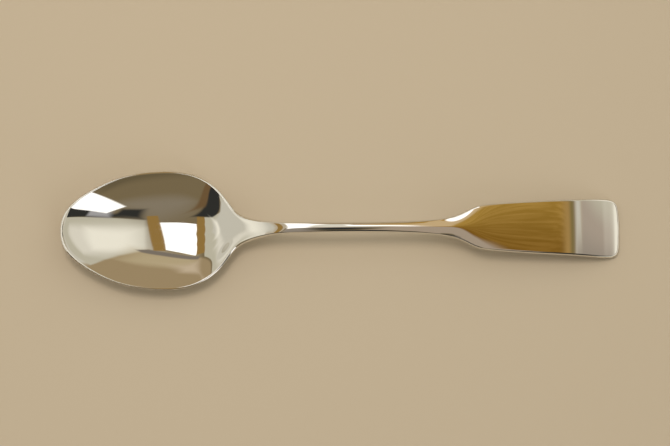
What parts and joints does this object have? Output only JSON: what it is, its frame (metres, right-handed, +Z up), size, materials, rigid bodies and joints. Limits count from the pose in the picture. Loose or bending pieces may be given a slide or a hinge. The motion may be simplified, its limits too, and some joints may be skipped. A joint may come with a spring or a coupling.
{
  "type": "teaspoon",
  "caption": "Teaspoon of polished steel with an egg-shaped bowl, a slim crowned stem and a broad squared handle end that bends down to the table.",
  "frame": {"origin": "on the table plane, under the middle of the spoon's box", "axes": "+X along the spoon towards the end of the handle, +Y across it, +Z up, with the hollow of the bowl facing up"},
  "size_m": [0.138, 0.0292, 0.0114],
  "materials": {
    "bowl_steel": "mirror polished stainless steel, with fine scratches from use",
    "handle_steel": "mirror polished stainless steel"
  },
  "bodies": {
    "root": {"bowl": "bowl_steel", "neck": "handle_steel", "stem": "handle_steel", "shoulder": "handle_steel", "blade": "handle_steel", "handle_tip": "handle_steel"}
  },
  "joints": []
}
